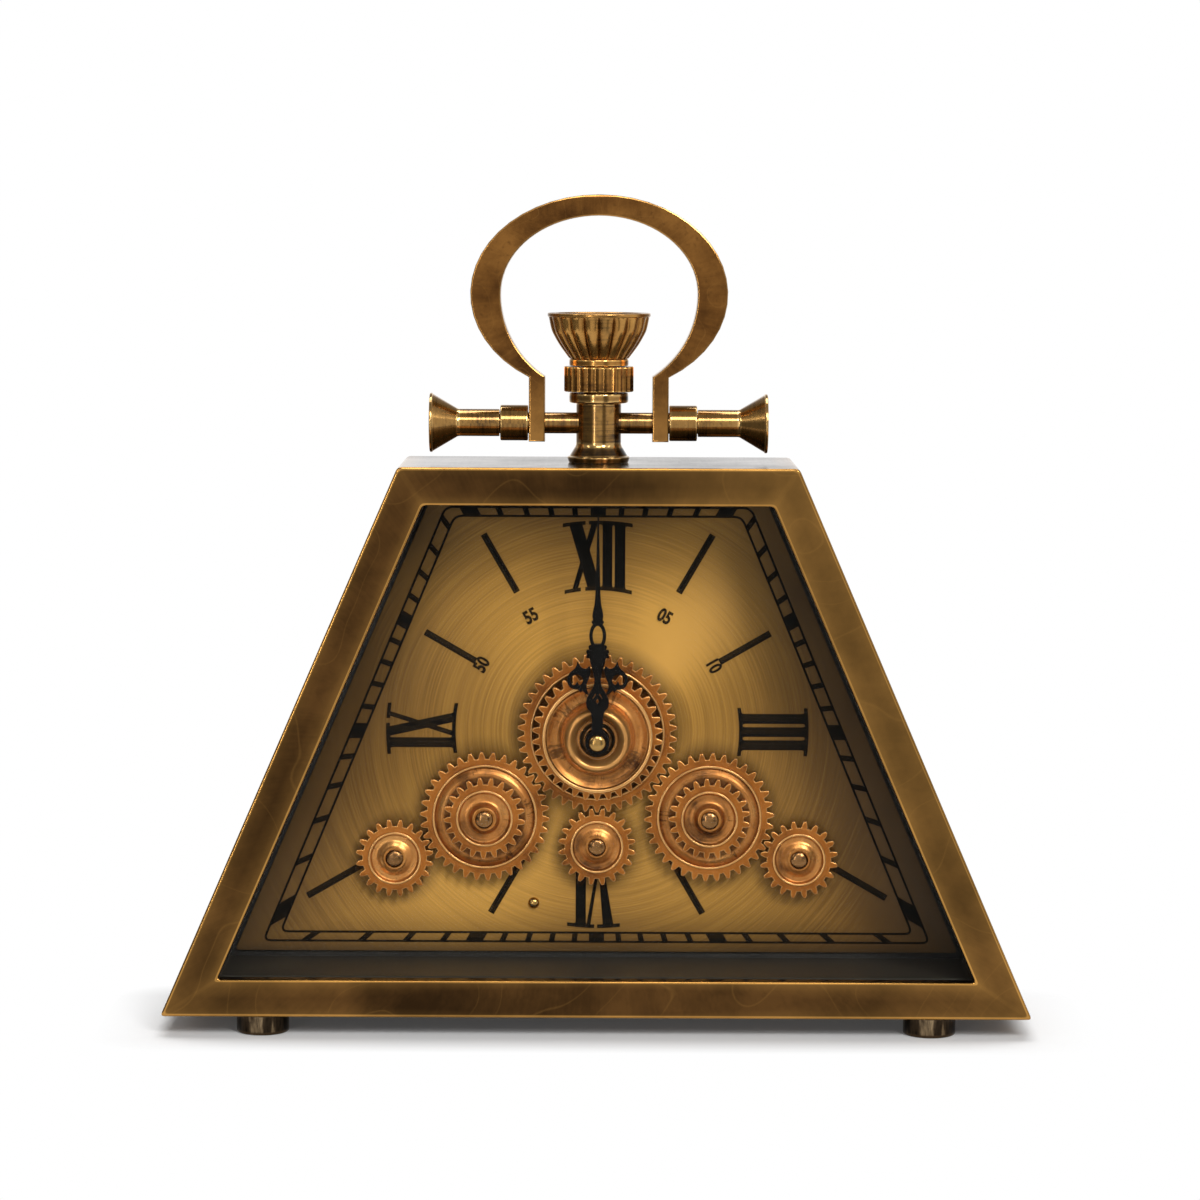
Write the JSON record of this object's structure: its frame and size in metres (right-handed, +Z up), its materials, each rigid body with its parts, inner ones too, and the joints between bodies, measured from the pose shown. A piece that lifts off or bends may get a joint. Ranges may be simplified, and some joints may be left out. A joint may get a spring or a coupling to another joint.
{
  "type": "table clock",
  "caption": "Trapezoid brass table clock with a deep glazed front, a train of turning gear wheels over the dial, ornate hands, round feet, a crown and a swinging bow handle.",
  "frame": {"origin": "centre of the overall box at the table surface", "axes": "+X along the width, to the right seen from the front; +Y from the dial to the back; +Z up"},
  "size_m": [0.329, 0.07, 0.3177],
  "materials": {
    "antique_brass": "dark patinated satin",
    "glass": "clear polished",
    "black_paint": "satin black",
    "black_board": "black fibre board",
    "dial_brass": "circular brushed",
    "copper": "aged copper",
    "pin_metal": "pale nickel bronze",
    "polished_brass": "polished",
    "steel": "zinc plated",
    "black_plastic": "fine grained",
    "cell_wrap": "printed film"
  },
  "bodies": {
    "case": {"case_shell": "antique_brass", "rear_cover": "antique_brass", "foot_front_left": "antique_brass", "foot_front_right": "antique_brass", "foot_rear_left": "antique_brass", "foot_rear_right": "antique_brass", "stem_post": "antique_brass", "crown_ring": "antique_brass", "crown_cup": "antique_brass", "cross_bar": "antique_brass", "sleeve_left": "antique_brass", "sleeve_right": "antique_brass", "bar_end_left": "antique_brass", "bar_end_right": "antique_brass", "glass_pane": "glass", "liner": "black_paint", "mounting_board": "black_board", "dial_plate": "dial_brass", "right_pin": "pin_metal", "bottom_pin": "pin_metal", "far_left_pin": "pin_metal", "far_right_pin": "pin_metal", "bush_collar": "pin_metal", "dial_rivet": "polished_brass", "movement_bush": "polished_brass", "cover_screw_low_left": "steel", "cover_screw_high_left": "steel", "cover_screw_low_right": "steel", "cover_screw_high_right": "steel", "motor_screw_low": "steel", "motor_screw_high": "steel", "stem_nut": "steel", "bush_nut": "steel", "movement_case": "black_plastic", "motor_case": "black_plastic", "movement_cell": "cell_wrap", "motor_cell": "cell_wrap"},
    "handle": {"bow_handle": "antique_brass"},
    "centre_gear": {"centre_wheel": "copper", "centre_upper_wheel": "copper", "centre_dome": "copper"},
    "left_gear": {"left_wheel": "copper", "left_upper_wheel": "copper", "left_arbor": "pin_metal"},
    "right_gear": {"right_wheel": "copper", "right_upper_wheel": "copper"},
    "bottom_gear": {"bottom_wheel": "copper"},
    "far_left_gear": {"far_left_wheel": "copper"},
    "far_right_gear": {"far_right_wheel": "copper"},
    "minute": {"minute_shaft": "steel", "minute_hand": "black_paint", "hand_nut": "polished_brass"},
    "hour": {"hour_tube": "polished_brass", "hour_hand": "black_paint"},
    "knob": {"setting_knob": "black_plastic"}
  },
  "joints": [
    {"name": "handle_swing", "type": "hinge", "parent": "case", "child": "handle", "pos_m": [0, 0, 0.231], "axis": [1, 0, 0], "range_deg": [-102, 102]},
    {"name": "centre_gear_spin", "type": "hinge", "parent": "case", "child": "centre_gear", "pos_m": [0, 0, 0.1107], "axis": [0, 1, 0], "continuous": true},
    {"name": "left_gear_spin", "type": "hinge", "parent": "case", "child": "left_gear", "pos_m": [-0.04346, 0, 0.07807], "axis": [0, 1, 0], "continuous": true},
    {"name": "right_gear_spin", "type": "hinge", "parent": "case", "child": "right_gear", "pos_m": [0.04346, 0, 0.07807], "axis": [0, 1, 0], "continuous": true},
    {"name": "bottom_gear_spin", "type": "hinge", "parent": "case", "child": "bottom_gear", "pos_m": [0, 0, 0.06637], "axis": [0, 1, 0], "continuous": true},
    {"name": "far_left_gear_spin", "type": "hinge", "parent": "case", "child": "far_left_gear", "pos_m": [-0.07839, 0, 0.06163], "axis": [0, 1, 0], "continuous": true},
    {"name": "far_right_gear_spin", "type": "hinge", "parent": "case", "child": "far_right_gear", "pos_m": [0.07839, 0, 0.06163], "axis": [0, 1, 0], "continuous": true},
    {"name": "minute_hand_turn", "type": "hinge", "parent": "case", "child": "minute", "pos_m": [0, 0, 0.1107], "axis": [0, 1, 0], "continuous": true},
    {"name": "hour_hand_turn", "type": "hinge", "parent": "case", "child": "hour", "pos_m": [0, 0, 0.1107], "axis": [0, 1, 0], "continuous": true},
    {"name": "setting_knob_turn", "type": "hinge", "parent": "case", "child": "knob", "pos_m": [0, 0, 0.1257], "axis": [0, 1, 0], "continuous": true}
  ],
  "couplings": [
    {"joint": "left_gear_spin", "follows": "centre_gear_spin", "ratio": -1.2353},
    {"joint": "right_gear_spin", "follows": "centre_gear_spin", "ratio": -1.2353},
    {"joint": "bottom_gear_spin", "follows": "centre_gear_spin", "ratio": -2.1},
    {"joint": "far_left_gear_spin", "follows": "centre_gear_spin", "ratio": 2.1},
    {"joint": "far_right_gear_spin", "follows": "centre_gear_spin", "ratio": 2.1},
    {"joint": "hour_hand_turn", "follows": "minute_hand_turn", "ratio": 0.083333},
    {"joint": "setting_knob_turn", "follows": "minute_hand_turn", "ratio": -0.33333}
  ]
}
